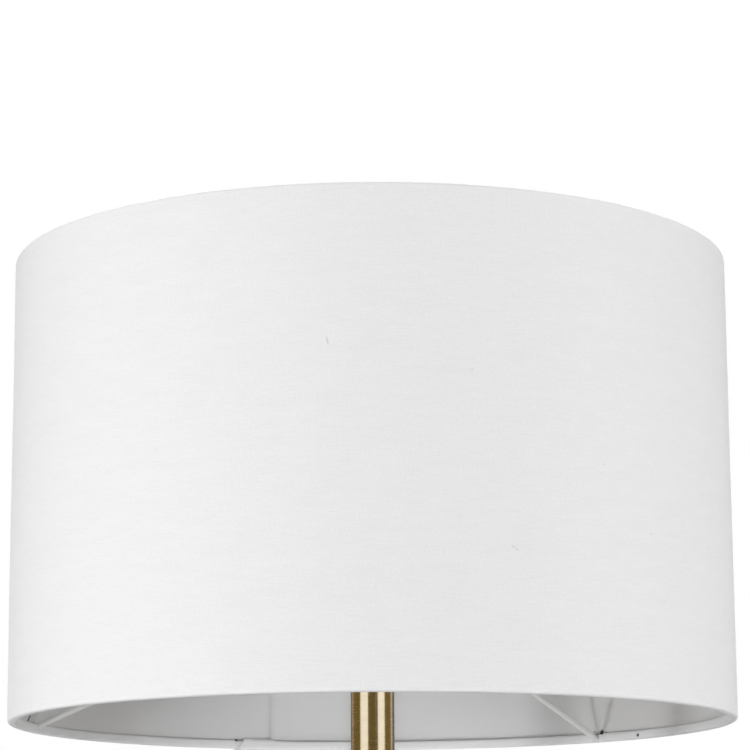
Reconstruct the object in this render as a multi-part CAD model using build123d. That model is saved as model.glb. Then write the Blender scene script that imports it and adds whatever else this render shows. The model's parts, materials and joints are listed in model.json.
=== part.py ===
from build123d import *
import math
import os

# A standing lamp with a fabric drum shade on a straight brass pole and a weighted round base.
# Millimetres, +Z up, origin on the floor under the middle of the base.

# Drum shade: fabric laminated to a plastic liner and hemmed round two wire rings
SHADE_DIAMETER = 400.0
SHADE_HEIGHT = 255.0
FABRIC_THICKNESS = 0.5
GLUE_FILM = 0.1
LINER_THICKNESS = 0.5
RING_WIRE = 3.6
HEM_CLEARANCE = 0.3
HEM_TURN = 295.0
SEAM_ANGLE = 108.5
SEAM_LAP = 12.0

# Spider: three rods that rise from the bottom ring to a fitter washer
ARM_COUNT = 3
ARM_WIRE = 3.4
ARM_ANGLE = 46.5
ARM_WELD = 2.5
ARM_NOTCH_CLEARANCE = 0.8
FITTER_RISE = 72.0
FITTER_DIAMETER = 60.0
FITTER_THICKNESS = 2.0
FITTER_CLEARANCE = 0.4

# Lampholder: cap, threaded sleeve with a shoulder, insulating core and metal contacts
SLEEVE_DIAMETER = 39.5
SLEEVE_WALL = 2.3
SLEEVE_HEIGHT = 26.0
SHOULDER_DIAMETER = 48.0
SHOULDER_THICKNESS = 4.0
SPIGOT_DEPTH = 6.0
CAP_DIAMETER = 44.0
CAP_FOOT_DIAMETER = 30.0
CAP_HEIGHT = 34.0
CAP_WALL = 2.5
CAP_FLOOR = 10.0
CAP_NECK_HEIGHT = 9.0
CAP_NECK_BORE = 24.0
CAP_LEDGE_HEIGHT = 17.0
MOULDING_CLEARANCE = 0.15
CORE_CLEARANCE = 0.2
CORE_TOP_DROP = 2.0
SHELL_BORE = 26.8
SHELL_WALL = 0.6
SHELL_HEIGHT = 20.0
TERMINAL_SPREAD = 14.0
TERMINAL_HEAD = 5.2
TERMINAL_HEAD_HEIGHT = 1.8
TERMINAL_SHANK = 3.0
TERMINAL_SHANK_LENGTH = 6.0
CONTACT_HEIGHT = 4.2
CONTACT_WIDTH = 5.0
CONTACT_STRIP = 0.6
CONTACT_FOOT = 6.0
CONTACT_REACH = 3.5
LOCK_RING_DIAMETER = 52.0
LOCK_RING_HEIGHT = 10.0
LOCK_RING_EDGE = 1.2
LOCK_RING_FLUTES = 24
LOCK_RING_FLUTE_RADIUS = 1.4

# Rotary switch on the side of the lampholder
SWITCH_HEIGHT = 24.0
SHAFT_DIAMETER = 4.0
SHAFT_CLEARANCE = 0.08
SHAFT_END_GAP = 0.3
SHAFT_SEAT = 9.0
BOSS_DIAMETER = 12.0
BOSS_REACH = 5.0
KNOB_DIAMETER = 11.0
KNOB_LENGTH = 15.0
KNOB_GAP = 0.4
KNOB_CROWN = 1.2
KNOB_SOCKET = 10.0
KNOB_FLUTES = 12
KNOB_FLUTE_RADIUS = 0.9

# Pear-shaped bulb with a screw cap
BULB_DIAMETER = 60.0
BULB_LENGTH = 108.0
BULB_NECK = 27.0
BULB_GLASS = 1.0
BULB_CAP_DIAMETER = 26.1
BULB_CAP_WALL = 0.6
BULB_CAP_FOOT = 5.0
BULB_CAP_HEIGHT = 22.0
BULB_NECK_STRAIGHT = 4.0
BULB_TIP_DIAMETER = 9.6
BULB_TIP_HEIGHT = 1.4
BULB_STEM_DEPTH = 5.0
BULB_STEM_CLEARANCE = 0.15

# Pole: straight tubes joined by hollow threaded nipples in pressed-in inserts
POLE_DIAMETER = 24.0
POLE_WALL = 1.2
POLE_SECTIONS = ("lower", "middle", "upper")
SECTION_LENGTH = 434.0
SECTION_CHAMFER = 0.4
INSERT_LENGTH = 16.0
NIPPLE_DIAMETER = 10.0
NIPPLE_BORE = 7.5
NIPPLE_ENGAGEMENT = 13.0
THREAD_CLEARANCE = 0.05
LEAD_DIAMETER = 2.4
LEAD_SPACING = 2.9
LEAD_BEND = 6.0

# Cup between the pole and the lampholder
CUP_DIAMETER = 36.0
CUP_HEIGHT = 8.0
CUP_WALL = 1.2
CUP_EDGE = 3.0

# Base: spun cover over a cast weight, with a pad below and a collar round the pole
BASE_DIAMETER = 280.0
BASE_HEIGHT = 26.0
COVER_WALL = 1.2
COVER_EDGE = 7.0
RIM_LIFT = 1.0
PAD_THICKNESS = 3.0
PAD_CLEARANCE = 0.5
WEIGHT_CLEARANCE = 0.5
WEIGHT_WEB = 4.0
NUT_RECESS_DIAMETER = 36.0
NIPPLE_HOLE_CLEARANCE = 0.2
WASHER_DIAMETER = 30.0
WASHER_THICKNESS = 1.6
NUT_FLATS = 16.0
NUT_THICKNESS = 4.0
NIPPLE_TAIL = 1.0
COLLAR_DIAMETER = 44.0
COLLAR_NECK = 29.0
COLLAR_FOOT = 3.0
COLLAR_HEIGHT = 15.0
COLLAR_CLEARANCE = 0.1

# Cord inlet bush in the back of the base rim
BUSH_HEIGHT = 8.5
BUSH_BORE = 6.0
BUSH_NECK = 8.8
BUSH_FLANGE = 12.5
BUSH_FLANGE_THICKNESS = 2.5
BUSH_LIP = 10.4
BUSH_LIP_LENGTH = 3.0
BUSH_CLEARANCE = 0.1
CHANNEL_CLEARANCE = 0.8

# Levels from the floor upwards
POLE_FOOT = BASE_HEIGHT
POLE_TOP = POLE_FOOT + len(POLE_SECTIONS) * SECTION_LENGTH
CAP_BOTTOM = POLE_TOP + CUP_WALL
CAP_TOP = CAP_BOTTOM + CAP_HEIGHT
SHADE_SEAT = CAP_TOP + SHOULDER_THICKNESS
CORE_BOTTOM = CAP_BOTTOM + CAP_LEDGE_HEIGHT
CORE_TOP = SHADE_SEAT - CORE_TOP_DROP
BULB_BOTTOM = CORE_TOP + CONTACT_HEIGHT
SHADE_BOTTOM = SHADE_SEAT - FITTER_RISE
COVER_UNDERSIDE = BASE_HEIGHT - COVER_WALL
WASHER_TOP = COVER_UNDERSIDE - WEIGHT_WEB
NUT_BOTTOM = WASHER_TOP - WASHER_THICKNESS - NUT_THICKNESS
NIPPLE_BOTTOM = NUT_BOTTOM - NIPPLE_TAIL

# Radii that several pieces share
SHADE_RADIUS = SHADE_DIAMETER / 2
HEM_INNER = RING_WIRE / 2 + HEM_CLEARANCE
HEM_OUTER = HEM_INNER + FABRIC_THICKNESS
RING_RADIUS = SHADE_RADIUS - HEM_OUTER
LINER_RADIUS = SHADE_RADIUS - FABRIC_THICKNESS - GLUE_FILM
SLEEVE_BORE_RADIUS = SLEEVE_DIAMETER / 2 - SLEEVE_WALL
CAP_BORE_RADIUS = CAP_DIAMETER / 2 - CAP_WALL
CORE_RADIUS = SLEEVE_BORE_RADIUS - CORE_CLEARANCE
POLE_BORE_RADIUS = POLE_DIAMETER / 2 - POLE_WALL
COVER_BORE_RADIUS = BASE_DIAMETER / 2 - COVER_WALL
BOSS_FACE = CAP_DIAMETER / 2 + BOSS_REACH


def turned(*edges):
    """A solid turned about the lamp's axis from a closed outline of radius and height."""
    return revolve(Plane.XZ * make_face(edges), Axis.Z)


def turned_polygon(*points):
    """A turned solid with straight-sided outline."""
    return turned(Polyline(*points, close=True))


def ring(outer_radius, inner_radius, bottom, top):
    """A plain round ring or tube between two levels."""
    return turned_polygon((inner_radius, bottom), (outer_radius, bottom), (outer_radius, top), (inner_radius, top))


def disc(radius, bottom, top):
    """A plain round disc between two levels."""
    return Pos(0, 0, bottom) * Cylinder(radius, top - bottom, align=(Align.CENTER, Align.CENTER, Align.MIN))


def rod(start, end, radius):
    """A round rod from one point to another."""
    way = Vector(*end) - Vector(*start)
    return extrude(Plane(origin=start, z_dir=way) * Circle(radius), way.length)


def along_x(radius, start, end, height):
    """A round rod along +X at one level."""
    return rod((start, 0, height), (end, 0, height), radius)


def group(solids):
    """Several like pieces kept as separate solids of one node."""
    return Compound(children=list(solids))


def strip_along_seam(outer_radius, inner_radius, bottom, top):
    """An upright strip of a drum's wall, as wide as the seam's lap and centred on the seam."""
    width_angle = math.degrees(SEAM_LAP / outer_radius)
    outline = Polyline(
        (inner_radius, bottom), (outer_radius, bottom), (outer_radius, top), (inner_radius, top), close=True
    )
    strip = revolve(Plane.XZ * make_face(outline), Axis.Z, width_angle)
    return Rot(0, 0, SEAM_ANGLE - width_angle / 2) * strip


def arm_points(angle):
    """The ends of one spider arm's centre line: in the bottom ring's wire and under the fitter washer."""
    foot_height = SHADE_BOTTOM + HEM_OUTER
    head_radius = FITTER_DIAMETER / 2 - ARM_WELD
    head_height = SHADE_SEAT + FITTER_THICKNESS / 2 - ARM_WIRE / 2
    cosine = math.cos(math.radians(angle))
    sine = math.sin(math.radians(angle))
    foot = (RING_RADIUS * cosine, RING_RADIUS * sine, foot_height)
    head = (head_radius * cosine, head_radius * sine, head_height)
    return foot, head


def arm_angles():
    """The directions of the spider's arms."""
    return [ARM_ANGLE + 360 / ARM_COUNT * index for index in range(ARM_COUNT)]


def arm_notches():
    """Cutters that snip the hem open from its tucked edge down past each arm."""
    low = SHADE_BOTTOM + HEM_OUTER
    above = low + 2 * HEM_OUTER
    below = low - ARM_WIRE / 2
    inside = RING_RADIUS - HEM_OUTER - HEM_CLEARANCE
    outside = LINER_RADIUS - LINER_THICKNESS
    outline = Polyline(
        (inside, below),
        (RING_RADIUS, below),
        (RING_RADIUS, low),
        (outside, low),
        (outside, above),
        (inside, above),
        close=True,
    )
    snip = extrude(Plane.XZ * make_face(outline), ARM_WIRE / 2 + ARM_NOTCH_CLEARANCE, both=True)
    return [Rot(0, 0, angle) * snip for angle in arm_angles()]


def shade_wire_ring(height):
    """One of the drum's two wire rings."""
    return Pos(0, 0, height) * Torus(RING_RADIUS, RING_WIRE / 2)


def shade_fabric():
    """The drum of fabric, rolled round both wire rings, notched at the arms and lapped at the seam."""
    low = SHADE_BOTTOM + HEM_OUTER
    high = SHADE_BOTTOM + SHADE_HEIGHT - HEM_OUTER
    inner_wall = SHADE_RADIUS - FABRIC_THICKNESS
    low_tuck = CenterArc((RING_RADIUS, low), HEM_INNER, 0, -HEM_TURN)
    low_roll = CenterArc((RING_RADIUS, low), HEM_OUTER, 0, -HEM_TURN)
    high_tuck = CenterArc((RING_RADIUS, high), HEM_INNER, 0, HEM_TURN)
    high_roll = CenterArc((RING_RADIUS, high), HEM_OUTER, 0, HEM_TURN)
    drum = turned(
        Line((SHADE_RADIUS, low), (SHADE_RADIUS, high)),
        high_roll,
        Line(high_roll @ 1, high_tuck @ 1),
        high_tuck,
        Line((inner_wall, high), (inner_wall, low)),
        low_tuck,
        Line(low_tuck @ 1, low_roll @ 1),
        low_roll,
    )
    drum += strip_along_seam(SHADE_RADIUS + FABRIC_THICKNESS, SHADE_RADIUS - FABRIC_THICKNESS / 2, low, high)
    for notch in arm_notches():
        drum -= notch
    return drum


def shade_liner():
    """The plastic drum behind the fabric, with its overlapped upright seam."""
    inner = LINER_RADIUS - LINER_THICKNESS
    edge = HEM_OUTER + RING_WIRE / 2 + HEM_CLEARANCE
    lap_edge = 2 * HEM_OUTER + HEM_CLEARANCE
    shade_top = SHADE_BOTTOM + SHADE_HEIGHT
    liner = ring(LINER_RADIUS, inner, SHADE_BOTTOM + edge, shade_top - edge)
    lap_outer = LINER_RADIUS - LINER_THICKNESS / 2
    liner += strip_along_seam(lap_outer, inner - LINER_THICKNESS, SHADE_BOTTOM + lap_edge, shade_top - lap_edge)
    return liner


def fitter_ring():
    """The flat washer that drops over the lampholder's sleeve and carries the shade."""
    bore_radius = SLEEVE_DIAMETER / 2 + FITTER_CLEARANCE
    return ring(FITTER_DIAMETER / 2, bore_radius, SHADE_SEAT, SHADE_SEAT + FITTER_THICKNESS)


def spider_arms(bottom_ring, washer):
    """The three arms, each cut to lie against the wire ring and the washer that it is welded to."""
    arms = [rod(*arm_points(angle), ARM_WIRE / 2) for angle in arm_angles()]
    return group(arm - bottom_ring - washer for arm in arms)


def holder_cap():
    """The lower half of the lampholder, with the threaded entry, core ledge and switch boss."""
    foot = CAP_FOOT_DIAMETER / 2
    body = CAP_DIAMETER / 2
    neck = CAP_BOTTOM + CAP_NECK_HEIGHT
    floor = CAP_BOTTOM + CAP_FLOOR
    entry = NIPPLE_DIAMETER / 2 + THREAD_CLEARANCE
    throat = CAP_NECK_BORE / 2
    flare = Spline(
        (foot, neck), (body, CORE_BOTTOM), tangents=((0, 1), (0, 1)), tangent_scalars=(1.0, 1.0)
    )
    cap = turned(
        Line((entry, CAP_BOTTOM), (foot, CAP_BOTTOM)),
        Line((foot, CAP_BOTTOM), (foot, neck)),
        flare,
        Polyline(
            (body, CORE_BOTTOM),
            (body, CAP_TOP),
            (CAP_BORE_RADIUS, CAP_TOP),
            (CAP_BORE_RADIUS, CORE_BOTTOM),
            (throat, CORE_BOTTOM),
            (throat, floor),
            (entry, floor),
            (entry, CAP_BOTTOM),
        ),
    )
    switch_level = CAP_BOTTOM + SWITCH_HEIGHT
    cap += along_x(BOSS_DIAMETER / 2, CAP_BORE_RADIUS + CAP_WALL / 2, BOSS_FACE, switch_level)
    cap -= disc(CAP_BORE_RADIUS, CORE_BOTTOM, CAP_TOP)
    cap -= along_x(SHAFT_DIAMETER / 2 + SHAFT_CLEARANCE, 0, BOSS_FACE + BOSS_REACH, switch_level)
    return cap


def holder_sleeve():
    """The upper half of the lampholder: threaded outside, with the shoulder that the shade rests on."""
    outer = SLEEVE_DIAMETER / 2
    spigot = CAP_BORE_RADIUS - MOULDING_CLEARANCE
    shoulder = SHOULDER_DIAMETER / 2
    top = SHADE_SEAT + SLEEVE_HEIGHT
    return turned_polygon(
        (SLEEVE_BORE_RADIUS, CAP_TOP - SPIGOT_DEPTH),
        (spigot, CAP_TOP - SPIGOT_DEPTH),
        (spigot, CAP_TOP),
        (shoulder, CAP_TOP),
        (shoulder, SHADE_SEAT),
        (outer, SHADE_SEAT),
        (outer, top),
        (SLEEVE_BORE_RADIUS, top),
    )


def holder_core():
    """The insulating block that holds the contacts and the switch."""
    core = disc(CORE_RADIUS, CORE_BOTTOM, CORE_TOP)
    bore = SHAFT_DIAMETER / 2 + SHAFT_CLEARANCE
    start = CORE_RADIUS - SHAFT_SEAT - SHAFT_END_GAP
    core -= along_x(bore, start, CORE_RADIUS + SLEEVE_WALL, CAP_BOTTOM + SWITCH_HEIGHT)
    hole = disc(TERMINAL_SHANK / 2 + THREAD_CLEARANCE, CORE_BOTTOM, CORE_BOTTOM + TERMINAL_SHANK_LENGTH)
    for place in terminal_places():
        core -= place * hole
    return core


def terminal_places():
    """Where the two terminal screws stand, either side of the leads."""
    return [Pos(0, side * TERMINAL_SPREAD / 2, 0) for side in (-1, 1)]


def terminal_screws():
    """The screws under the core that clamp the leads."""
    head = disc(TERMINAL_HEAD / 2, CORE_BOTTOM - TERMINAL_HEAD_HEIGHT, CORE_BOTTOM)
    shank = disc(TERMINAL_SHANK / 2, CORE_BOTTOM, CORE_BOTTOM + TERMINAL_SHANK_LENGTH)
    return group(place * (head + shank) for place in terminal_places())


def screw_shell():
    """The metal sleeve that the bulb's cap screws into."""
    bore = SHELL_BORE / 2
    return ring(bore + SHELL_WALL, bore, CORE_TOP, CORE_TOP + SHELL_HEIGHT)


def centre_contact():
    """The bent spring strip under the bulb's tip."""
    rise = CONTACT_HEIGHT - CONTACT_STRIP
    leaf = Polyline(
        (-CONTACT_REACH - CONTACT_FOOT, 0),
        (-CONTACT_REACH, 0),
        (0, rise),
        (CONTACT_REACH, rise),
        (CONTACT_REACH, rise + CONTACT_STRIP),
        (-CONTACT_STRIP / 2, rise + CONTACT_STRIP),
        (-CONTACT_REACH - CONTACT_STRIP / 2, CONTACT_STRIP),
        (-CONTACT_REACH - CONTACT_FOOT, CONTACT_STRIP),
        close=True,
    )
    strip = extrude(Plane.XZ * make_face(leaf), CONTACT_WIDTH / 2, both=True)
    return Pos(0, 0, CORE_TOP) * strip


def flutes(count, pitch_radius, flute_radius, length):
    """Round cutters spaced about an axis, for the grip of a ring or knob."""
    cutter = Cylinder(flute_radius, length, align=(Align.CENTER, Align.CENTER, Align.MIN))
    return [place * cutter for place in PolarLocations(pitch_radius, count)]


def shade_lock_ring():
    """The fluted ring that screws down on the fitter washer."""
    outer = LOCK_RING_DIAMETER / 2
    bore = SLEEVE_DIAMETER / 2 + THREAD_CLEARANCE
    bottom = SHADE_SEAT + FITTER_THICKNESS
    top = bottom + LOCK_RING_HEIGHT
    lock = turned_polygon(
        (bore, bottom),
        (outer, bottom),
        (outer, top - LOCK_RING_EDGE),
        (outer - LOCK_RING_EDGE, top),
        (bore, top),
    )
    for cutter in flutes(LOCK_RING_FLUTES, outer, LOCK_RING_FLUTE_RADIUS, LOCK_RING_HEIGHT):
        lock -= Pos(0, 0, bottom) * cutter
    return lock


def switch_shaft():
    """The rotary switch's spindle, from the core to the knob."""
    knob_start = BOSS_FACE + KNOB_GAP
    return along_x(
        SHAFT_DIAMETER / 2, CORE_RADIUS - SHAFT_SEAT, knob_start + KNOB_SOCKET, CAP_BOTTOM + SWITCH_HEIGHT
    )


def switch_knob():
    """The fluted turn knob with a crowned end and a socket for the spindle."""
    radius = KNOB_DIAMETER / 2
    socket = SHAFT_DIAMETER / 2
    knob = turned_polygon(
        (socket, 0),
        (radius, 0),
        (radius, KNOB_LENGTH - KNOB_CROWN),
        (radius - KNOB_CROWN, KNOB_LENGTH),
        (0, KNOB_LENGTH),
        (0, KNOB_SOCKET),
        (socket, KNOB_SOCKET),
    )
    for cutter in flutes(KNOB_FLUTES, radius, KNOB_FLUTE_RADIUS, KNOB_LENGTH):
        knob -= cutter
    return Pos(BOSS_FACE + KNOB_GAP, 0, CAP_BOTTOM + SWITCH_HEIGHT) * Rot(0, 90, 0) * knob


def bulb_glass():
    """The pear-shaped envelope: a ball, a hollow flank and a neck with a stem inside the cap."""
    cap_top = BULB_BOTTOM + BULB_CAP_FOOT + BULB_CAP_HEIGHT
    ball = BULB_DIAMETER / 2
    neck = BULB_NECK / 2
    ball_level = BULB_BOTTOM + BULB_LENGTH - ball
    flank_level = cap_top + BULB_NECK_STRAIGHT
    drop = ball_level - flank_level
    flank = (drop**2 + neck**2 - ball**2) / (2 * (ball - neck))
    tilt = math.degrees(math.atan2(drop, neck + flank))
    stem = BULB_CAP_DIAMETER / 2 - BULB_CAP_WALL - BULB_STEM_CLEARANCE
    bore = stem - BULB_GLASS
    inner_neck = neck - BULB_GLASS
    outer_flank = CenterArc((neck + flank, flank_level), flank, 180, -tilt)
    outer_ball = CenterArc((0, ball_level), ball, -tilt, 90 + tilt)
    inner_ball = CenterArc((0, ball_level), ball - BULB_GLASS, -tilt, 90 + tilt)
    inner_flank = CenterArc((neck + flank, flank_level), flank + BULB_GLASS, 180, -tilt)
    return turned(
        Polyline(
            (bore, cap_top - BULB_STEM_DEPTH),
            (stem, cap_top - BULB_STEM_DEPTH),
            (stem, cap_top),
            (neck, cap_top),
            (neck, flank_level),
        ),
        outer_flank,
        outer_ball,
        Line(outer_ball @ 1, inner_ball @ 1),
        inner_ball,
        inner_flank,
        Polyline(
            (inner_neck, flank_level), (bore, cap_top), (bore, cap_top - BULB_STEM_DEPTH)
        ),
    )


def bulb_cap():
    """The bulb's metal screw cap, with a turned-in foot round the insulator."""
    outer = BULB_CAP_DIAMETER / 2
    foot = BULB_BOTTOM + BULB_CAP_FOOT
    top = foot + BULB_CAP_HEIGHT
    inner = outer - BULB_CAP_WALL
    lip = bulb_insulator_radius()
    return turned_polygon(
        (lip, foot),
        (outer, foot),
        (outer, top),
        (inner, top),
        (inner, foot + BULB_CAP_WALL),
        (lip, foot + BULB_CAP_WALL),
    )


def bulb_insulator_radius():
    """The radius at which the bulb's insulator meets its cap."""
    return BULB_CAP_DIAMETER / 2 - 3 * BULB_CAP_WALL


def bulb_insulator():
    """The glass cone between the bulb's cap and its tip contact."""
    tip = BULB_TIP_DIAMETER / 2
    wide = bulb_insulator_radius()
    bottom = BULB_BOTTOM + BULB_TIP_HEIGHT
    foot = BULB_BOTTOM + BULB_CAP_FOOT
    top = foot + BULB_CAP_WALL
    return turned_polygon((0, bottom), (tip, bottom), (wide, foot), (wide, top), (0, top))


def bulb_tip():
    """The bulb's centre contact."""
    edge = BULB_TIP_HEIGHT / 2
    tip = BULB_TIP_DIAMETER / 2
    top = BULB_BOTTOM + BULB_TIP_HEIGHT
    return turned_polygon(
        (0, BULB_BOTTOM), (tip - edge, BULB_BOTTOM), (tip, BULB_BOTTOM + edge), (tip, top), (0, top)
    )


def socket_cup():
    """The small brass dish on top of the pole that the lampholder stands in."""
    hole = NIPPLE_DIAMETER / 2 + NIPPLE_HOLE_CLEARANCE
    outer = CUP_DIAMETER / 2
    inner = outer - CUP_WALL
    rim = POLE_TOP + CUP_HEIGHT
    bend = POLE_TOP + CUP_EDGE
    return turned(
        Line((hole, POLE_TOP), (outer - CUP_EDGE, POLE_TOP)),
        CenterArc((outer - CUP_EDGE, bend), CUP_EDGE, -90, 90),
        Polyline((outer, bend), (outer, rim), (inner, rim), (inner, bend)),
        CenterArc((outer - CUP_EDGE, bend), CUP_EDGE - CUP_WALL, 0, -90),
        Polyline((outer - CUP_EDGE, CAP_BOTTOM), (hole, CAP_BOTTOM), (hole, POLE_TOP)),
    )


def pole_section(index):
    """One length of the pole's tube, its ends broken by a small chamfer."""
    outer = POLE_DIAMETER / 2
    bottom = POLE_FOOT + index * SECTION_LENGTH
    top = bottom + SECTION_LENGTH
    return turned_polygon(
        (POLE_BORE_RADIUS, bottom),
        (outer - SECTION_CHAMFER, bottom),
        (outer, bottom + SECTION_CHAMFER),
        (outer, top - SECTION_CHAMFER),
        (outer - SECTION_CHAMFER, top),
        (POLE_BORE_RADIUS, top),
    )


def tube_inserts():
    """The threaded inserts pressed into both ends of every tube."""
    bore = NIPPLE_DIAMETER / 2 + THREAD_CLEARANCE
    inserts = []
    for index in range(len(POLE_SECTIONS)):
        bottom = POLE_FOOT + index * SECTION_LENGTH
        top = bottom + SECTION_LENGTH
        inserts.append(ring(POLE_BORE_RADIUS, bore, bottom, bottom + INSERT_LENGTH))
        inserts.append(ring(POLE_BORE_RADIUS, bore, top - INSERT_LENGTH, top))
    return group(inserts)


def nipple(bottom, top):
    """A hollow threaded rod between two levels."""
    return ring(NIPPLE_DIAMETER / 2, NIPPLE_BORE / 2, bottom, top)


def section_nipples():
    """The nipples that join one tube to the next."""
    levels = [POLE_FOOT + index * SECTION_LENGTH for index in range(1, len(POLE_SECTIONS))]
    return group(nipple(level - NIPPLE_ENGAGEMENT, level + NIPPLE_ENGAGEMENT) for level in levels)


def pole_wiring():
    """Two insulated leads that run from the base's cord channel up to the lampholder's core."""
    start = COVER_BORE_RADIUS - WEIGHT_CLEARANCE - BUSH_LIP_LENGTH - CHANNEL_CLEARANCE
    route = FilletPolyline((start, BUSH_HEIGHT), (0, BUSH_HEIGHT), (0, CORE_BOTTOM), radius=LEAD_BEND)
    leads = []
    for side in (-1, 1):
        path = Plane.YZ.offset(side * LEAD_SPACING / 2) * route
        section = Plane(origin=path @ 0, z_dir=path % 0) * Circle(LEAD_DIAMETER / 2)
        leads.append(sweep(section, path=path))
    return group(leads)


def base_cover():
    """The spun dish that shows as the base, holed for the nipple and for the cord bush."""
    outer = BASE_DIAMETER / 2
    flat = outer - COVER_EDGE
    bend = BASE_HEIGHT - COVER_EDGE
    hole = NIPPLE_DIAMETER / 2 + NIPPLE_HOLE_CLEARANCE
    cover = turned(
        Line((outer, RIM_LIFT), (outer, bend)),
        CenterArc((flat, bend), COVER_EDGE, 0, 90),
        Polyline((flat, BASE_HEIGHT), (hole, BASE_HEIGHT), (hole, COVER_UNDERSIDE), (flat, COVER_UNDERSIDE)),
        CenterArc((flat, bend), COVER_EDGE - COVER_WALL, 90, -90),
        Polyline((COVER_BORE_RADIUS, bend), (COVER_BORE_RADIUS, RIM_LIFT), (outer, RIM_LIFT)),
    )
    bush_hole = rod(
        (0, flat, BUSH_HEIGHT), (0, outer + COVER_WALL, BUSH_HEIGHT), BUSH_NECK / 2 + BUSH_CLEARANCE
    )
    return cover - bush_hole


def base_weight():
    """The cast weight under the cover, recessed for the nut and channelled for the cord."""
    outer = COVER_BORE_RADIUS - WEIGHT_CLEARANCE
    flat = BASE_DIAMETER / 2 - COVER_EDGE - WEIGHT_CLEARANCE
    recess = NUT_RECESS_DIAMETER / 2
    hole = NIPPLE_DIAMETER / 2 + NIPPLE_HOLE_CLEARANCE
    weight = turned_polygon(
        (recess, PAD_THICKNESS),
        (outer, PAD_THICKNESS),
        (outer, BASE_HEIGHT - COVER_EDGE),
        (flat, COVER_UNDERSIDE),
        (hole, COVER_UNDERSIDE),
        (hole, WASHER_TOP),
        (recess, WASHER_TOP),
    )
    half_width = BUSH_LIP / 2 + CHANNEL_CLEARANCE
    channel_height = BUSH_HEIGHT + half_width - PAD_THICKNESS
    channel = Pos(0, 0, PAD_THICKNESS) * Box(
        2 * half_width, outer + COVER_WALL, channel_height, align=(Align.CENTER, Align.MIN, Align.MIN)
    )
    return weight - channel


def base_nut():
    """The hexagon nut under the weight."""
    outline = RegularPolygon(NUT_FLATS / 2, 6, major_radius=False) - Circle(NIPPLE_DIAMETER / 2 + THREAD_CLEARANCE)
    return extrude(Pos(0, 0, NUT_BOTTOM) * outline, NUT_THICKNESS)


def base_collar():
    """The bell-shaped brass collar round the foot of the pole."""
    bore = POLE_DIAMETER / 2 + COLLAR_CLEARANCE
    foot = COLLAR_DIAMETER / 2
    neck = COLLAR_NECK / 2
    shoulder = POLE_FOOT + COLLAR_FOOT
    top = POLE_FOOT + COLLAR_HEIGHT
    bell = RadiusArc((foot, shoulder), (neck, top), COLLAR_HEIGHT)
    return turned(
        Line((bore, POLE_FOOT), (foot, POLE_FOOT)),
        Line((foot, POLE_FOOT), (foot, shoulder)),
        bell,
        Polyline((neck, top), (bore, top), (bore, POLE_FOOT)),
    )


def cord_bush():
    """The flanged bush that takes the supply cord through the rim of the base."""
    bore = BUSH_BORE / 2
    neck = BUSH_NECK / 2
    lip = BUSH_LIP / 2
    flange = BUSH_FLANGE / 2
    wall_outside = BASE_DIAMETER / 2
    wall_inside = math.sqrt(COVER_BORE_RADIUS**2 - lip**2) - BUSH_CLEARANCE
    bush = turned_polygon(
        (bore, wall_inside - BUSH_LIP_LENGTH),
        (lip, wall_inside - BUSH_LIP_LENGTH),
        (lip, wall_inside),
        (neck, wall_inside),
        (neck, wall_outside),
        (flange, wall_outside),
        (flange, wall_outside + BUSH_FLANGE_THICKNESS),
        (bore, wall_outside + BUSH_FLANGE_THICKNESS),
    )
    return Pos(0, 0, BUSH_HEIGHT) * Rot(-90, 0, 0) * bush


def lamp():
    """Every node of the lamp by name."""
    bottom_ring = shade_wire_ring(SHADE_BOTTOM + HEM_OUTER)
    washer = fitter_ring()
    nodes = {
        "shade_fabric": shade_fabric(),
        "shade_liner": shade_liner(),
        "shade_top_ring": shade_wire_ring(SHADE_BOTTOM + SHADE_HEIGHT - HEM_OUTER),
        "shade_bottom_ring": bottom_ring,
        "spider_arms": spider_arms(bottom_ring, washer),
        "fitter_ring": washer,
        "shade_lock_ring": shade_lock_ring(),
        "holder_sleeve": holder_sleeve(),
        "holder_cap": holder_cap(),
        "holder_core": holder_core(),
        "terminal_screws": terminal_screws(),
        "screw_shell": screw_shell(),
        "centre_contact": centre_contact(),
        "switch_shaft": switch_shaft(),
        "switch_knob": switch_knob(),
        "bulb_glass": bulb_glass(),
        "bulb_cap": bulb_cap(),
        "bulb_insulator": bulb_insulator(),
        "bulb_tip": bulb_tip(),
        "socket_cup": socket_cup(),
        "top_nipple": nipple(POLE_TOP - NIPPLE_ENGAGEMENT, CAP_BOTTOM + CAP_FLOOR),
        "section_nipples": section_nipples(),
        "tube_inserts": tube_inserts(),
        "pole_wiring": pole_wiring(),
        "base_collar": base_collar(),
        "base_cover": base_cover(),
        "base_weight": base_weight(),
        "base_pad": disc(COVER_BORE_RADIUS - PAD_CLEARANCE, 0, PAD_THICKNESS),
        "base_nipple": nipple(NIPPLE_BOTTOM, POLE_FOOT + NIPPLE_ENGAGEMENT),
        "base_washer": ring(
            WASHER_DIAMETER / 2,
            NIPPLE_DIAMETER / 2 + NIPPLE_HOLE_CLEARANCE,
            WASHER_TOP - WASHER_THICKNESS,
            WASHER_TOP,
        ),
        "base_nut": base_nut(),
        "cord_bush": cord_bush(),
    }
    for index, name in enumerate(POLE_SECTIONS):
        nodes[f"pole_{name}"] = pole_section(index)
    return nodes


os.makedirs("parts", exist_ok=True)
for node_name, solid in lamp().items():
    export_step(solid, f"parts/{node_name}.step")
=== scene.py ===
import json
import math

import bmesh
import bpy
from mathutils import Matrix, Vector, noise

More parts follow.
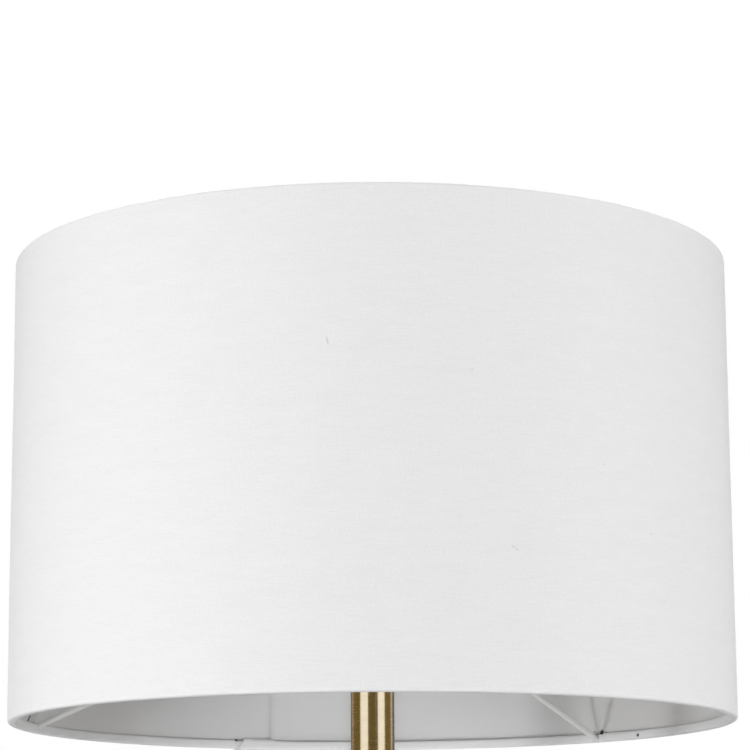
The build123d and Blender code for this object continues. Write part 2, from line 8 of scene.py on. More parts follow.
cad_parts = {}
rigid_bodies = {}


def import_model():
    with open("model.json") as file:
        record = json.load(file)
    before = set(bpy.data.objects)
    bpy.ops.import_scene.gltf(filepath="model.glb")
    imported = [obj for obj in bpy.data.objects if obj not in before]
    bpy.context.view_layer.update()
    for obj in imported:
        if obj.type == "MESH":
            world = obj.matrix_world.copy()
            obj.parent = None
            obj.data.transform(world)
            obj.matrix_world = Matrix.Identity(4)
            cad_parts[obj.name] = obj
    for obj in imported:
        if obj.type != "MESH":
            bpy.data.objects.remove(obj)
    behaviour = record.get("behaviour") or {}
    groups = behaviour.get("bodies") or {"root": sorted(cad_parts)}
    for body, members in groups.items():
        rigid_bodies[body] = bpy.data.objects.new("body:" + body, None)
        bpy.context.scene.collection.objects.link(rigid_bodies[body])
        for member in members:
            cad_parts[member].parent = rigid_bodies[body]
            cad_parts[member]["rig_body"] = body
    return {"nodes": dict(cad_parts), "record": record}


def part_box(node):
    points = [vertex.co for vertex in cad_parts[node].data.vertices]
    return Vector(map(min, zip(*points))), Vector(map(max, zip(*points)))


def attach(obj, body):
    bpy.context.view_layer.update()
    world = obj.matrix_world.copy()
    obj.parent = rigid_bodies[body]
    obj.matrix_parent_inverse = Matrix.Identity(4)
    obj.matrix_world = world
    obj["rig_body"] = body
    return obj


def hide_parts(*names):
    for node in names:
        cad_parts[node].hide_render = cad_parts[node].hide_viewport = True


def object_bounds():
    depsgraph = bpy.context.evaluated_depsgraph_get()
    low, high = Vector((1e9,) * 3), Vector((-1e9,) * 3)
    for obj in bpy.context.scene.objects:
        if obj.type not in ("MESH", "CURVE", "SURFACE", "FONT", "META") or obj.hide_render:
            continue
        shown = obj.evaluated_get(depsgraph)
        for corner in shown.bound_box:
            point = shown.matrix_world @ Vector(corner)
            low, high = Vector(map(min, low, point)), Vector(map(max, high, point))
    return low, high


# A standing lamp with a white drum shade on a straight brass pole, dressed over its solids.
# Metres, +Z up, the same frame as the solids.
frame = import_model()
cad_low, cad_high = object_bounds()

MM = 0.001
NODE_SLOTS = {part["node"]: part["material_slot"] for part in frame["record"]["subparts"]}

# Meshes: how close points are joined, which edges are sharp, and how finely round forms are divided
SAME_POINT = 1e-7
SAME_CORNER = 1e-6
FLAT_DEGREES = 0.5
SHARP_DEGREES = 35
CLOTH_SHARP_DEGREES = 50
ROD_SHARP_DEGREES = 60
BEVEL_STEPS = 2
EDGE_STEPS = 4
ROD_SEGMENTS = 20
ROUND_SEGMENTS = 96
POLE_SEGMENTS = 128
ROWS_PER_THREAD = 10

# Drum shade, measured on the solids
fabric_low, fabric_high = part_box("shade_fabric")
ring_low, ring_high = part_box("shade_bottom_ring")
liner_low, liner_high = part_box("shade_liner")
SHADE_BOTTOM = fabric_low.z
SHADE_TOP = fabric_high.z
SHADE_RADIUS = fabric_high.x
SHADE_MIDDLE = (0, 0, (SHADE_BOTTOM + SHADE_TOP) / 2)
RING_WIRE = (ring_high.z - ring_low.z) / 2
RING_RADIUS = ring_high.x - RING_WIRE
HEM_ROLL = SHADE_RADIUS - RING_RADIUS
HEM_FACE = RING_RADIUS - HEM_ROLL
LOW_RING = SHADE_BOTTOM + HEM_ROLL
HIGH_RING = SHADE_TOP - HEM_ROLL
SEAM_ANGLE = math.radians(108.6)
WOBBLE_HEIGHT = 0.18 * MM
WOBBLE_SCALE = 9.0

# Cloth: how it is rolled round the rings
CLOTH_THICKNESS = 0.5 * MM
HEM_TURN = math.radians(295)
LOW_SQUARENESS = 4.0
HIGH_SQUARENESS = 9.0
HEM_STEPS = 26
WALL_ROWS = 14
STATION_STEP = math.radians(0.75)
FINE_STEP = 0.3 * MM / SHADE_RADIUS

# Cloth: how it is lapped over itself at the seam
CLOTH_LAP = (SEAM_ANGLE, math.radians(115.0))
LAP_RAMP = math.radians(1.2)
LAP_RISE = CLOTH_THICKNESS + 0.05 * MM
LAP_SLANT = math.radians(1.1)
LAP_PUCKER = 0.16
LAP_LOOSE = 0.7 * MM
LAP_SNIP = (math.radians(114.0), math.radians(115.5))

# Cloth: how the bottom hem is snipped at the arms
NOTCH_TURN = math.radians(215)
NOTCH_REACH = 8 * MM
NOTCH_EDGE = 0.35 * MM
SLIT_TURN = math.radians(120)
SLIT_HALF = 0.25 * MM

# Liner: a plastic drum whose inner edge curls up at the seam and shows as an upright line
LINER_THICKNESS = 0.5 * MM
LINER_FACE = liner_high.x - LINER_THICKNESS
LINER_LAP = math.radians(3.4)
LINER_LAP_SHARE = 1.1
LINER_CURL = 1.1 * MM
LINER_CURL_RAMP = 0.5 * LAP_RAMP
LINER_ROWS = 12
LINER_FINENESS = 2

# Spider arms: their feet as (inset, rise) from the ring, how far the hem is snipped before and after each,
# and their beads of weld as (mm from the rod's end, share of the rod's radius)
ARM_ANGLES = [math.radians(46.5 + 120 * index) for index in range(3)]
ARM_FEET = ((2.1 * MM, -0.9 * MM), (0.4 * MM, 0.5 * MM), (1.0 * MM, 0.0))
ARM_NOTCHES = ((5.0 * MM, 2.2 * MM), (2.2 * MM, 7.0 * MM), (3.0 * MM, 3.0 * MM))
ARM_RADIUS = 1.7 * MM
ARM_HEAD_RADIUS = 27.5 * MM
FOOT_BEAD = ((-0.2, 0.8), (0.1, 1.0), (2.0, 1.04), (5.0, 1.0))
HEAD_BEAD = ((-6.0, 1.0), (-4.0, 1.15), (-2.0, 1.3), (-0.4, 1.15), (0.5, 0.5))
HEM_SLIT = (ARM_ANGLES[1], -3.6 * MM)


# Points, directions and meshes


def polar(radius, angle, height):
    """A point by its distance from the axis, its direction and its height."""
    return Vector((radius * math.cos(angle), radius * math.sin(angle), height))


def on_shade(radius, degrees, rise):
    """A point of the shade; its direction is in degrees and its height above the bottom edge in mm."""
    return polar(radius, math.radians(degrees), SHADE_BOTTOM + rise * MM)


def turn_between(start, end):
    """The turn from one direction to another, the short way round."""
    return (end - start + math.pi) % math.tau - math.pi


def round_turns(segments):
    """Evenly spaced directions once round."""
    return [math.tau * index / segments for index in range(segments)]


def smooth_step(value):
    """A ramp from 0 to 1 that starts and ends gently."""
    share = min(max(value, 0.0), 1.0)
    return share * share * (3 - 2 * share)


def window(value, low, high, edge):
    """1 between low and high and 0 outside, with soft edges."""
    return smooth_step((value - low) / edge + 0.5) * smooth_step((high - value) / edge + 0.5)


def arc(centre, radius, start, end, steps):
    """Points of an arc in a cross-section; the angles are in degrees."""
    angles = [math.radians(start + (end - start) * step / steps) for step in range(steps + 1)]
    return [(centre[0] + radius * math.cos(a), centre[1] + radius * math.sin(a)) for a in angles]


def corner(across, height, edge, start):
    """A rounded corner of a cross-section: a quarter circle about a point, from an angle in degrees."""
    return arc((across, height), edge, start, start + 90, EDGE_STEPS)


def skin(loops, wrap):
    """Vertices and faces through closed loops of equal length, joined end to end or capped like a sheet."""
    count = len(loops[0])
    vertices = [point for loop in loops for point in loop]
    faces = []
    for index in range(len(loops) if wrap else len(loops) - 1):
        here = index * count
        there = (index + 1) % len(loops) * count
        for side in range(count):
            following = (side + 1) % count
            faces.append((here + side, there + side, there + following, here + following))
    if not wrap:
        final = (len(loops) - 1) * count
        for side in range(count // 2 - 1):
            quad = (side, side + 1, count - 2 - side, count - 1 - side)
            faces.append(quad)
            faces.append(tuple(final + index for index in reversed(quad)))
    return vertices, faces


def turned(profile, segments):
    """Vertices and faces of a closed outline of (radius, height) points turned about the lamp's axis."""
    loops = [[polar(radius, angle, height) for radius, height in profile] for angle in round_turns(segments)]
    return skin(loops, True)


def clean_mesh(name, vertices, faces):
    """A mesh with no doubled points and with its faces turned outwards."""
    mesh = bpy.data.meshes.new(name)
    mesh.from_pydata(vertices, [], faces)
    work = bmesh.new()
    work.from_mesh(mesh)
    bmesh.ops.remove_doubles(work, verts=work.verts, dist=SAME_POINT)
    bmesh.ops.dissolve_degenerate(work, dist=SAME_POINT, edges=work.edges)
    bmesh.ops.recalc_face_normals(work, faces=work.faces)
    work.to_mesh(mesh)
    work.free()
    return mesh


def add_piece(name, mesh, node, sharp_degrees=SHARP_DEGREES):
    """Puts a mesh in place of a solid, riding on the solid's body and finished as its slot says."""
    mesh.shade_smooth()
    mesh.set_sharp_from_angle(angle=math.radians(sharp_degrees))
    piece = bpy.data.objects.new(name, mesh)
    bpy.context.scene.collection.objects.link(piece)
    mesh.materials.append(MATERIALS[NODE_SLOTS[node]])
    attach(piece, frame["nodes"][node]["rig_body"])
    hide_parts(node)
    piece.visible_glossy = not node.startswith("shade_")
    return piece


def add_softened(node, width):
    """A copy of a solid's mesh with its sharp edges rounded, in place of the solid."""
    work = bmesh.new()
    work.from_mesh(frame["nodes"][node].data)
    bmesh.ops.remove_doubles(work, verts=work.verts, dist=SAME_CORNER)
    flat = math.radians(FLAT_DEGREES)
    bmesh.ops.dissolve_limit(work, angle_limit=flat, verts=work.verts, edges=work.edges)
    work.verts.ensure_lookup_table()
    work.verts.index_update()
    vertices = [vertex.co.copy() for vertex in work.verts]
    faces = [[vertex.index for vertex in face.verts] for face in work.faces]
    work.free()
    name = node + "_shell"
    piece = add_piece(name, clean_mesh(name, vertices, faces), node)
    bevel = piece.modifiers.new("Rounded edges", "BEVEL")
    bevel.width = width
    bevel.segments = BEVEL_STEPS
    bevel.limit_method = "ANGLE"
    bevel.angle_limit = math.radians(SHARP_DEGREES)
    bevel.harden_normals = True


# Materials: noise ranges, and colours as (dark, light)

NOISE_SPREAD = (0.3, 0.7)
NOISE_CORE = (0.35, 0.65)
COTTON = ((0.852, 0.849, 0.854), (0.897, 0.896, 0.899))
LINER_PLASTIC = ((0.775, 0.775, 0.78), (0.815, 0.815, 0.818))
RING_BURNT = (0.045, 0.036, 0.026)
RING_WHITE = (0.84, 0.84, 0.84)
WHITE_COAT = ((0.80, 0.80, 0.80), (0.84, 0.84, 0.84))
BLACK_MOULDING = ((0.022, 0.022, 0.023), (0.034, 0.033, 0.033))
CERAMIC = ((0.72, 0.71, 0.68), (0.8, 0.79, 0.76))
CONTACT_BRASS = ((0.62, 0.49, 0.24), (0.74, 0.6, 0.32))
ZINC = ((0.54, 0.54, 0.53), (0.66, 0.66, 0.64))
TURNED_STEEL = ((0.5, 0.5, 0.49), (0.58, 0.58, 0.57))
OPAL = ((0.87, 0.87, 0.85), (0.92, 0.92, 0.905))
CAP_METAL = ((0.7, 0.7, 0.69), (0.8, 0.8, 0.79))
BRASS = ((0.86, 0.74, 0.53), (0.93, 0.82, 0.63))
LEAD_IVORY = ((0.68, 0.67, 0.63), (0.76, 0.75, 0.71))
CEMENT = ((0.38, 0.375, 0.36), (0.52, 0.51, 0.49))
FELT = ((0.035, 0.035, 0.036), (0.085, 0.084, 0.083))
RUBBER = ((0.028, 0.028, 0.028), (0.045, 0.045, 0.045))

# Cotton: its threads, the kinds of unevenness as (scale along and across the cloth, detail, roughness), and
# what they weigh in the tone and the relief
THREAD_PITCH = 0.38 * MM
THREAD_STRAY = (1.2 * MM, 1.2 * MM, 0)
STRAY_SCALE = 160.0
NUBS = ((800, 1050, 0), 2.0, 0.6)
SLUBS = ((95, 1500, 0), 2.0, 0.5)
ENDS = ((1500, 130, 0), 2.0, 0.5)
PATCHES = ((30, 150, 0), 3.0, 0.6)
TONE_WEIGHTS = (0.46, 0.25, 0.12, 0.17)
TONE_RANGE = (0.38, 0.62)
RELIEF_WEIGHTS = (0.25, 0.4, 0.3)

# Brushed metal: the brushing's fine lines and its wider bands
BRUSH_LINES = ((5200, 1.3, 0), 3.0, 0.6)
BRUSH_BANDS = ((160, 0.6, 0), 2.0, 0.5)
BRUSH_WEIGHTS = (0.5, 0.5)

# Ring: how far the burn reaches from an arm's foot
BURN_REACH = (8 * MM, 11 * MM)
BURN_RAGGED = 3 * MM

# Liner: a painted shade line along the crease where it goes into the hem, by height above the bottom edge
CREASE_SHADE_RISE = (5.3 * MM, 6.5 * MM)
CREASE_SHADE_DEPTH = 0.4

# Marks, with places on the shade as (degrees, mm above the bottom edge): dark fibres in the cloth by their
# two ends and depth of tone, flecks in the cloth, and larger spots by place and half width in mm
# The colour of dark marks on the cloth, also used for the painted shade and painted shadow on the liner
MARK_AND_SHADE_COLOUR = (0.05, 0.043, 0.036)
MARK_RAGGED = (1500, 1500, 1500)
MARK_EDGE = (0.9, 1.5)
FLECK_HALF = 0.55 * MM
FLECK_DEPTH = 0.2
FIBRE_SPOTS = 5
FIBRES = (
    ((263.77, 175.2), (263.95, 172.5), 0.25),
    ((290.33, 72.3), (291.1, 70.5), 0.18),
)
FLECKS = ((284.6, 160.1), (315.4, 84.7), (306.0, 117.3), (329.5, 203.8), (212.6, 149.5), (237.3, 125.2))
HEM_SPOT = (36.5, 2.2, 1.4)
# Liner spots: smut beside the right arm, and painted shade and painted shadow
LINER_SPOTS_AND_SHADOWS = (
    # Dark smut beside the right arm's weld
    (46.2, 5.9, 2.3),
    (45.3, 5.2, 1.3),
    (47.8, 6.6, 0.7),
    # Painted shade in the gap under the cloth's lapped end
    (114.9, 4.8, 1.6),
    # Painted shadow: the left arm's shadow streak on the liner, as four spots in a row
    (168.6, 6.1, 1.5),
    (168.2, 7.2, 1.4),
    (167.8, 8.2, 1.3),
    (167.4, 9.2, 1.1),
)


def fibre_marks(start, end, depth):
    """Marks in a row that make one short dark fibre between two places on the cloth."""
    first = on_shade(SHADE_RADIUS, *start)
    last = on_shade(SHADE_RADIUS, *end)
    shares = [step / (FIBRE_SPOTS - 1) for step in range(FIBRE_SPOTS)]
    return [(first.lerp(last, share), FLECK_HALF, depth) for share in shares]


def spot_mark(radius, degrees, rise, half_width):
    """A mark of full depth: its middle, half width and depth of tone."""
    return on_shade(radius, degrees, rise), half_width * MM, 1.0


CLOTH_MARKS = [mark for ends in FIBRES for mark in fibre_marks(*ends)]
CLOTH_MARKS += [(on_shade(SHADE_RADIUS, *fleck), FLECK_HALF, FLECK_DEPTH) for fleck in FLECKS]
CLOTH_MARKS += [spot_mark(HEM_FACE, *HEM_SPOT)]
LINER_MARKS_AND_SHADOWS = [spot_mark(LINER_FACE, *spot) for spot in LINER_SPOTS_AND_SHADOWS]


def new_material(name, colour, roughness, metallic=0.0):
    """A material with its shader's constant values set; gives the material, its tree and the shader."""
    material = bpy.data.materials.new(name)
    material.use_nodes = True
    tree = material.node_tree
    shader = tree.nodes["Principled BSDF"]
    shader.inputs["Base Color"].default_value = (*colour, 1)
    shader.inputs["Roughness"].default_value = roughness
    shader.inputs["Metallic"].default_value = metallic
    return material, tree, shader


def add_node(tree, kind, inputs, **settings):
    """A new node with its settings, and its sockets linked or set."""
    node = tree.nodes.new(kind)
    for key, value in settings.items():
        setattr(node, key, value)
    for key, value in inputs.items():
        if isinstance(value, bpy.types.NodeSocket):
            tree.links.new(value, node.inputs[key])
        else:
            node.inputs[key].default_value = value
    return node


def compute(tree, operation, *values):
    """The outcome of a math node."""
    return add_node(tree, "ShaderNodeMath", dict(enumerate(values)), operation=operation).outputs[0]


def weighed_sum(tree, start, values, weights):
    """A start value plus each value times its weight."""
    total = start
    for value, weight in zip(values, weights):
        total = compute(tree, "MULTIPLY_ADD", value, weight, total)
    return total


def remap(tree, value, low, high, to_low, to_high):
    """A value carried smoothly from one range to another."""
    inputs = {"Value": value, "From Min": low, "From Max": high, "To Min": to_low, "To Max": to_high}
    return add_node(tree, "ShaderNodeMapRange", inputs, interpolation_type="SMOOTHSTEP").outputs["Result"]


def split_axes(tree, place):
    """The three numbers of a place, by the names X, Y and Z."""
    return add_node(tree, "ShaderNodeSeparateXYZ", {"Vector": place}).outputs


def stretched(tree, place, scale):
    """A place multiplied by a scale along each axis."""
    return add_node(tree, "ShaderNodeVectorMath", {0: place, 1: scale}, operation="MULTIPLY").outputs[0]


def distance_to(tree, place, point):
    """How far a place is from a fixed point."""
    inputs = {0: place, 1: point}
    return add_node(tree, "ShaderNodeVectorMath", inputs, operation="DISTANCE").outputs["Value"]


def grain(tree, place, scale, detail=2.0, roughness=0.5):
    """Noise over a place that is stretched by a scale along each axis."""
    inputs = {"Vector": stretched(tree, place, scale), "Scale": 1.0, "Detail": detail, "Roughness": roughness}
    return add_node(tree, "ShaderNodeTexNoise", inputs).outputs["Fac"]


def tinted(tree, share, dark, light):
    """A colour between two others, of which the first may come from another node."""
    first = dark if isinstance(dark, bpy.types.NodeSocket) else (*dark, 1)
    mix = add_node(tree, "ShaderNodeMix", {0: share, 6: first, 7: (*light, 1)}, data_type="RGBA")
    return mix.outputs[2]


def set_colour(tree, shader, colour):
    """Links a colour to a shader."""
    tree.links.new(colour, shader.inputs["Base Color"])


def vary_roughness(tree, shader, share, smoothest, roughest):
    """Carries a shader's roughness from one value to another with a noise."""
    roughness = remap(tree, share, *NOISE_SPREAD, smoothest, roughest)
    tree.links.new(roughness, shader.inputs["Roughness"])


def bump(tree, shader, height, distance, strength):
    """Relief on a shader from a height between 0 and 1 and the relief's depth."""
    inputs = {"Height": height, "Distance": distance, "Strength": strength}
    node = add_node(tree, "ShaderNodeBump", inputs)
    tree.links.new(node.outputs["Normal"], shader.inputs["Normal"])


def marked(tree, place, marks):
    """Small ragged marks as deep as each one says, and 0 elsewhere."""
    ragged = grain(tree, place, MARK_RAGGED)
    inside, outside = MARK_EDGE
    shown = None
    for middle, half_width, depth in marks:
        reach = compute(tree, "MULTIPLY_ADD", ragged, half_width, distance_to(tree, place, middle))
        mark = remap(tree, reach, inside * half_width, outside * half_width, depth, 0.0)
        shown = compute(tree, "MAXIMUM", shown, mark) if shown else mark
    return shown


def object_place(tree):
    """The point on the surface in the lamp's frame."""
    return tree.nodes.new("ShaderNodeTexCoord").outputs["Object"]


def fabric_material():
    """White plain-woven cotton with uneven threads, a few dark fibres and flecks, and a spot on the hem."""
    material, tree, shader = new_material("Cotton", (0.88, 0.88, 0.88), roughness=0.92)
    shader.inputs["Sheen Weight"].default_value = 0.02
    shader.inputs["Specular IOR Level"].default_value = 0.08
    flat = add_node(tree, "ShaderNodeUVMap", {}, uv_map="Cloth").outputs["UV"]
    drift = add_node(tree, "ShaderNodeTexNoise", {"Vector": flat, "Scale": STRAY_SCALE, "Detail": 1.0})
    stray = stretched(tree, drift.outputs["Color"], THREAD_STRAY)
    threads = add_node(tree, "ShaderNodeVectorMath", {0: flat, 1: stray}, operation="ADD").outputs[0]
    axes = split_axes(tree, threads)
    turn = math.pi / THREAD_PITCH
    warp = compute(tree, "SINE", compute(tree, "MULTIPLY", axes["X"], turn))
    weft = compute(tree, "SINE", compute(tree, "MULTIPLY", axes["Y"], turn))
    weave = compute(tree, "MULTIPLY", warp, weft)
    nubs, slubs, ends, patches = (grain(tree, flat, *kind) for kind in (NUBS, SLUBS, ENDS, PATCHES))
    tone = weighed_sum(tree, 0.0, (nubs, slubs, ends, patches), TONE_WEIGHTS)
    cotton = tinted(tree, remap(tree, tone, *TONE_RANGE, 0.0, 1.0), *COTTON)
    specks = marked(tree, object_place(tree), CLOTH_MARKS)
    set_colour(tree, shader, tinted(tree, specks, cotton, MARK_AND_SHADE_COLOUR))
    height = weighed_sum(tree, 0.5, (weave, slubs, ends), RELIEF_WEIGHTS)
    bump(tree, shader, height, distance=0.05 * MM, strength=0.5)
    return material


def liner_material():
    """The shade's white plastic lining: satin, smutted beside the right arm, with a painted shadow streak
    beside the left arm, painted shade in the gap under the cloth's lapped end and a painted shade line where
    it enters the hem.
    """
    material, tree, shader = new_material("Liner", (0.8, 0.8, 0.8), roughness=0.5)
    place = object_place(tree)
    cloud = grain(tree, place, (14, 14, 14), detail=3.0)
    speck = grain(tree, place, (900, 900, 900))
    plastic = tinted(tree, cloud, *LINER_PLASTIC)
    # Painted shade: the liner is darkened just above the hem, where the crease lies in shade
    shade_low, shade_high = (SHADE_BOTTOM + rise for rise in CREASE_SHADE_RISE)
    crease_shade = remap(tree, split_axes(tree, place)["Z"], shade_low, shade_high, CREASE_SHADE_DEPTH, 0)
    # Smut beside the right arm together with the painted shade and painted shadow
    smut_and_painted_shade = compute(tree, "MAXIMUM", marked(tree, place, LINER_MARKS_AND_SHADOWS), crease_shade)
    set_colour(tree, shader, tinted(tree, smut_and_painted_shade, plastic, MARK_AND_SHADE_COLOUR))
    bump(tree, shader, speck, distance=0.03 * MM, strength=0.4)
    return material


def ring_material():
    """The rings' white coat, burnt brown where the arms are welded on."""
    material, tree, shader = new_material("Ring wire", RING_WHITE, roughness=0.4)
    place = object_place(tree)
    nearest = None
    for arm in ARM_ANGLES:
        distance = distance_to(tree, place, polar(RING_RADIUS, arm, LOW_RING))
        nearest = compute(tree, "MINIMUM", nearest, distance) if nearest else distance
    cloud = grain(tree, place, (300, 300, 300), detail=3.0)
    ragged = compute(tree, "MULTIPLY_ADD", cloud, BURN_RAGGED, nearest)
    share = remap(tree, ragged, *BURN_REACH, 0.0, 1.0)
    set_colour(tree, shader, tinted(tree, share, RING_BURNT, RING_WHITE))
    tree.links.new(remap(tree, share, 0.0, 1.0, 0.7, 0.4), shader.inputs["Roughness"])
    return material


def coated_material(name, dark, light, roughness, peel):
    """A sprayed or moulded finish: an even colour with slight clouds and a fine uneven skin."""
    material, tree, shader = new_material(name, light, roughness)
    place = object_place(tree)
    cloud = grain(tree, place, (60, 60, 60), detail=3.0)
    pores = grain(tree, place, (700, 700, 700))
    set_colour(tree, shader, tinted(tree, cloud, dark, light))
    vary_roughness(tree, shader, cloud, roughness - 0.05, roughness + 0.07)
    bump(tree, shader, pores, distance=peel, strength=0.5)
    return material


def turned_metal(name, dark, light, roughness, anisotropy):
    """Metal brushed round the lamp's axis, so that its highlights stretch across the brushing."""
    material, tree, shader = new_material(name, light, roughness, metallic=1.0)
    shader.inputs["Anisotropic"].default_value = anisotropy
    shader.inputs["Anisotropic Rotation"].default_value = 0.25
    tangent = add_node(tree, "ShaderNodeTangent", {}, direction_type="RADIAL", axis="Z")
    tree.links.new(tangent.outputs["Tangent"], shader.inputs["Tangent"])
    axes = split_axes(tree, object_place(tree))
    square = compute(tree, "MULTIPLY", axes["X"], axes["X"])
    square = compute(tree, "MULTIPLY_ADD", axes["Y"], axes["Y"], square)
    along = compute(tree, "ADD", compute(tree, "SQRT", square), axes["Z"])
    angle = compute(tree, "ARCTAN2", axes["Y"], axes["X"])
    place = add_node(tree, "ShaderNodeCombineXYZ", {"X": along, "Y": angle}).outputs["Vector"]
    lines = grain(tree, place, *BRUSH_LINES)
    bands = grain(tree, place, *BRUSH_BANDS)
    tone = weighed_sum(tree, 0.0, (lines, bands), BRUSH_WEIGHTS)
    set_colour(tree, shader, tinted(tree, remap(tree, tone, *NOISE_CORE, 0, 1), dark, light))
    vary_roughness(tree, shader, lines, roughness - 0.04, roughness + 0.04)
    return material


def plain_metal(name, dark, light, roughness):
    """Plated or pressed metal with faint clouds."""
    material, tree, shader = new_material(name, light, roughness, metallic=1.0)
    cloud = grain(tree, object_place(tree), (220, 220, 220), detail=4.0, roughness=0.6)
    set_colour(tree, shader, tinted(tree, cloud, dark, light))
    vary_roughness(tree, shader, cloud, roughness - 0.06, roughness + 0.08)
    return material


def rough_material(name, dark, light, scale, depth):
    """A matt, uneven material such as felt, cement or rubber."""
    material, tree, shader = new_material(name, light, roughness=0.95)
    grit = grain(tree, object_place(tree), (scale, scale, scale), detail=5.0, roughness=0.65)
    set_colour(tree, shader, tinted(tree, remap(tree, grit, *NOISE_CORE, 0, 1), dark, light))
    bump(tree, shader, grit, distance=depth, strength=0.8)
    return material


def opal_material():
    """The bulb's frosted white glass."""
    material, tree, shader = new_material("Opal glass", (0.9, 0.9, 0.88), roughness=0.28)
    shader.inputs["Coat Weight"].default_value = 0.4
    shader.inputs["Coat Roughness"].default_value = 0.12
    cloud = grain(tree, object_place(tree), (45, 45, 45))
    set_colour(tree, shader, tinted(tree, cloud, *OPAL))
    vary_roughness(tree, shader, cloud, smoothest=0.24, roughest=0.34)
    return material


MATERIALS = {
    "shade_fabric": fabric_material(),
    "liner_plastic": liner_material(),
    "ring_wire": ring_material(),
    "spider_white": coated_material("White powder coat", *WHITE_COAT, roughness=0.38, peel=0.03 * MM),
    "holder_plastic": coated_material("Black moulding", *BLACK_MOULDING, roughness=0.42, peel=0.02 * MM),
    "knob_plastic": coated_material("Black knob", *BLACK_MOULDING, roughness=0.3, peel=0.01 * MM),
    "core_ceramic": rough_material("Ceramic", *CERAMIC, scale=900, depth=0.05 * MM),
    "contact_metal": plain_metal("Contact brass", *CONTACT_BRASS, roughness=0.3),
    "zinc_steel": plain_metal("Zinc plate", *ZINC, roughness=0.38),
    "insert_steel": turned_metal("Turned steel", *TURNED_STEEL, roughness=0.34, anisotropy=0.5),
    "bulb_glass": opal_material(),
    "bulb_metal": plain_metal("Bulb cap", *CAP_METAL, roughness=0.3),
    "bulb_insulator": coated_material("Black glass", *BLACK_MOULDING, roughness=0.15, peel=0.005 * MM),
    "brass": turned_metal("Brushed brass", *BRASS, roughness=0.24, anisotropy=0.9),
    "lead_insulation": coated_material("Lead insulation", *LEAD_IVORY, roughness=0.5, peel=0.02 * MM),
    "base_weight": rough_material("Cast cement", *CEMENT, scale=260, depth=0.3 * MM),
    "base_felt": rough_material("Felt", *FELT, scale=1600, depth=0.3 * MM),
    "bush_rubber": rough_material("Rubber", *RUBBER, scale=1200, depth=0.03 * MM),
}


# Shade


def wobble(angle, height):
    """How far the drum's wall stands from a true cylinder."""
    place = Vector((math.cos(angle), math.sin(angle), height / SHADE_RADIUS)) * SHADE_RADIUS * WOBBLE_SCALE
    return noise.noise(place) * WOBBLE_HEIGHT


def hem_turn(angle):
    """How far the cloth is rolled round the bottom ring: less where the hem is snipped."""
    snipped = 0.0
    for arm, (before, after) in zip(ARM_ANGLES, ARM_NOTCHES):
        from_arm = turn_between(arm, angle) * SHADE_RADIUS
        snipped = max(snipped, window(from_arm, -before, after, NOTCH_EDGE))
    snipped = max(snipped, window(angle, *LAP_SNIP, NOTCH_EDGE / SHADE_RADIUS))
    slit_arm, slit_place = HEM_SLIT
    from_arm = turn_between(slit_arm, angle) * SHADE_RADIUS
    slit = window(from_arm, slit_place - SLIT_HALF, slit_place + SLIT_HALF, NOTCH_EDGE)
    return HEM_TURN + (NOTCH_TURN - HEM_TURN) * snipped + (SLIT_TURN - HEM_TURN) * slit


def hem_point(roll, turn, lift, squareness):
    """A point of the flattened roll round a ring, by its turn from the wall; lift raises the tucked side."""
    across, down = math.cos(turn), math.sin(turn)
    size = roll / (abs(across) ** squareness + abs(down) ** squareness) ** (1 / squareness)
    return size * across, size * down * (1 + lift if down < 0 else 1)


def cloth_path(grow, low_turn, lift, loose=0.0):
    """The cloth's cross-section as (radius, height), from the bottom hem's tucked edge to the top hem's."""
    roll = HEM_ROLL + grow
    low_roll = roll + loose
    low_turns = [low_turn * step / HEM_STEPS for step in range(HEM_STEPS, -1, -1)]
    high_turns = [HEM_TURN * step / HEM_STEPS for step in range(HEM_STEPS + 1)]
    low = [hem_point(low_roll, turn, lift, LOW_SQUARENESS) for turn in low_turns]
    high = [hem_point(roll, turn, 0, HIGH_SQUARENESS) for turn in high_turns]
    rows = [LOW_RING + (HIGH_RING - LOW_RING) * row / WALL_ROWS for row in range(1, WALL_ROWS)]
    return (
        [(RING_RADIUS + across, LOW_RING - down) for across, down in low]
        + [(RING_RADIUS + roll, row) for row in rows]
        + [(RING_RADIUS + across, HIGH_RING + down) for across, down in high]
    )


def cloth_angles():
    """The directions of the cloth's cross-sections, closer together at the arms and at the lap's end."""
    start, end = CLOTH_LAP[0], CLOTH_LAP[1] + math.tau
    count = round((end - start) / STATION_STEP)
    angles = {start + (end - start) * index / count for index in range(count + 1)}
    reach = round(NOTCH_REACH / SHADE_RADIUS / FINE_STEP)
    for place in ARM_ANGLES + [LAP_SNIP[0]]:
        middle = start + (place - start) % math.tau
        angles.update(middle + FINE_STEP * step for step in range(-reach, reach + 1))
    return sorted(angles)


def cloth_loop(angle):
    """The cloth's closed cross-section at one direction, lapped over itself at the seam."""
    start, end = CLOTH_LAP[0] + math.tau, CLOTH_LAP[1] + math.tau
    lapped = smooth_step((angle - start) / LAP_RAMP + 1)
    grow = LAP_RISE * lapped
    lift = LAP_PUCKER * lapped * min(1.0, (end - angle) / (end - start))
    turn = hem_turn(angle)
    towards_end = smooth_step((angle - start) / (end - start))
    slant = LAP_SLANT * towards_end
    loose = LAP_LOOSE * towards_end ** 3
    outer = cloth_path(grow, turn, lift, loose)
    inner = cloth_path(grow - CLOTH_THICKNESS, turn, lift, loose)
    hem_width = 2 * HEM_ROLL
    loop = []
    for radius, height in outer + inner[::-1]:
        in_hem = height < LOW_RING + hem_width
        lean = slant * smooth_step((height - SHADE_BOTTOM) / hem_width) if in_hem else 0.0
        away = radius + wobble(angle, height)
        loop.append(polar(away, angle - lean, height))
    return loop


